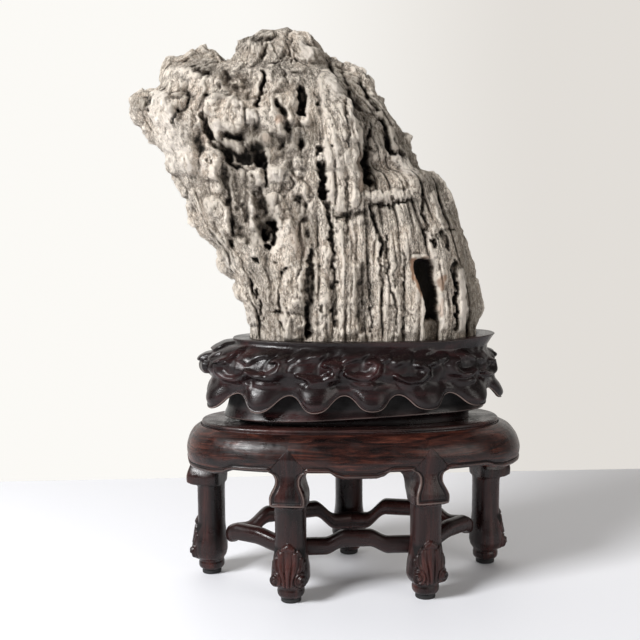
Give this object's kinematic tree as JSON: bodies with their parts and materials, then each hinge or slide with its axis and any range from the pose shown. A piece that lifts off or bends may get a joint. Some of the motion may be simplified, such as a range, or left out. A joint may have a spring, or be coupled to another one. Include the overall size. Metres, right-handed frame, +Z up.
{
  "type": "scholars rock on carved stand",
  "caption": "Upright fluted, cavernous limestone that leans to one side and stands loose in a carved hardwood socket with a scalloped skirt, on an oval table with curved legs and stretchers",
  "frame": {"origin": "on the ground, under the middle of the whole object's box", "axes": "+Z up from the feet to the stone's peak; +X to the right of a viewer in front, away from the side that the stone leans to; -Y towards that viewer"},
  "size_m": [0.3116, 0.1496, 0.45],
  "materials": {
    "limestone": "matte",
    "carved_hardwood": "satin",
    "figured_hardwood": "satin",
    "pad_rubber": "matte"
  },
  "bodies": {
    "root": {"scholar_rock": "limestone", "socket_base": "carved_hardwood", "top_board": "carved_hardwood", "apron_front": "figured_hardwood", "apron_front_right": "figured_hardwood", "apron_back_right": "figured_hardwood", "apron_back_left": "figured_hardwood", "apron_front_left": "figured_hardwood", "leg_front_left": "carved_hardwood", "leg_front_right": "carved_hardwood", "leg_right": "carved_hardwood", "leg_back": "carved_hardwood", "leg_left": "carved_hardwood", "stretcher_front": "carved_hardwood", "stretcher_front_right": "carved_hardwood", "stretcher_back_right": "carved_hardwood", "stretcher_back_left": "carved_hardwood", "stretcher_front_left": "carved_hardwood", "foot_pad_front_left": "pad_rubber", "foot_pad_front_right": "pad_rubber", "foot_pad_right": "pad_rubber", "foot_pad_back": "pad_rubber", "foot_pad_left": "pad_rubber"}
  },
  "joints": []
}
